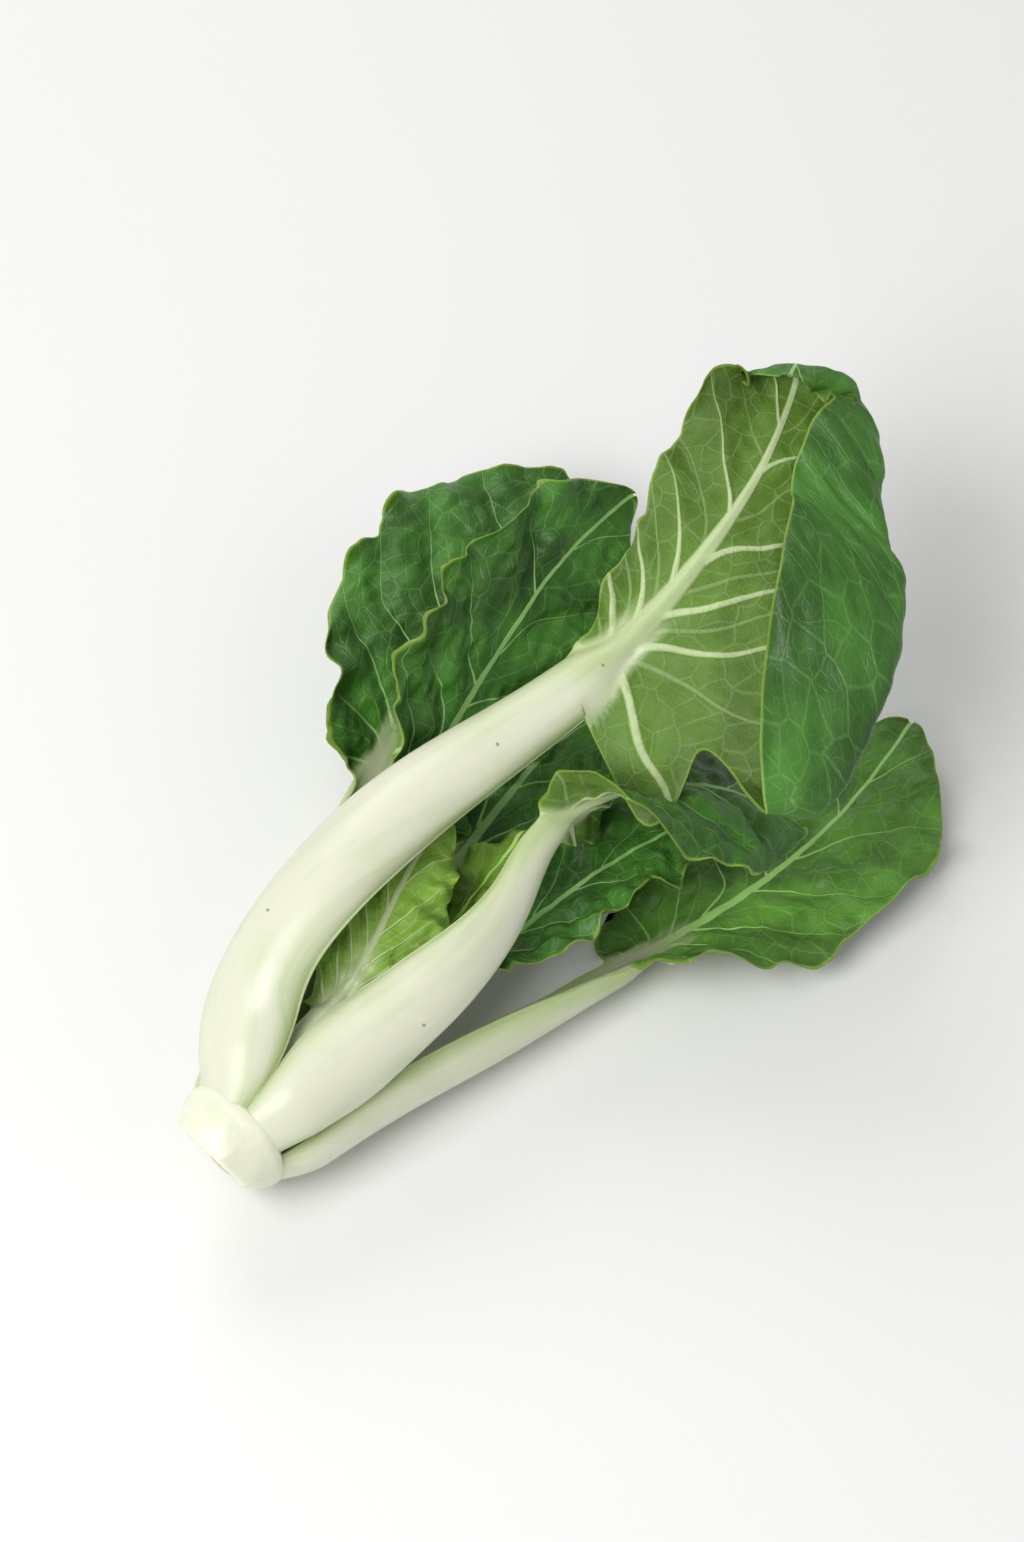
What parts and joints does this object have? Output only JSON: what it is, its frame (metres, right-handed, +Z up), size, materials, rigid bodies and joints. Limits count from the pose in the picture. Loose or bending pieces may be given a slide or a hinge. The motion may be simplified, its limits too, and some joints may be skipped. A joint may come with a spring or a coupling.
{
  "type": "bok choy head",
  "caption": "Whole head of white-stalked bok choy lying on its side, with a trimmed stem and leaves in three rings, some raised and some resting on the surface.",
  "frame": {"origin": "middle of the head's outline seen from above, on the surface that the head lies on", "axes": "+X along the head from the cut stem to the leaf tips, +Y across it, +Z up"},
  "size_m": [0.2061, 0.1395, 0.0805],
  "materials": {
    "stem": "satin",
    "outer_leaf": "satin",
    "middle_leaf": "satin",
    "heart_leaf": "satin"
  },
  "bodies": {
    "root": {"stem_base": "stem", "heart_bud": "heart_leaf", "outer_leaf_top": "outer_leaf", "outer_leaf_right": "outer_leaf", "outer_leaf_under": "outer_leaf", "outer_leaf_left": "outer_leaf", "outer_leaf_low_right": "outer_leaf", "middle_leaf_front": "heart_leaf", "middle_leaf_right": "middle_leaf", "middle_leaf_under": "middle_leaf", "middle_leaf_left": "middle_leaf", "inner_leaf_low": "heart_leaf", "inner_leaf_high": "heart_leaf"}
  },
  "joints": []
}
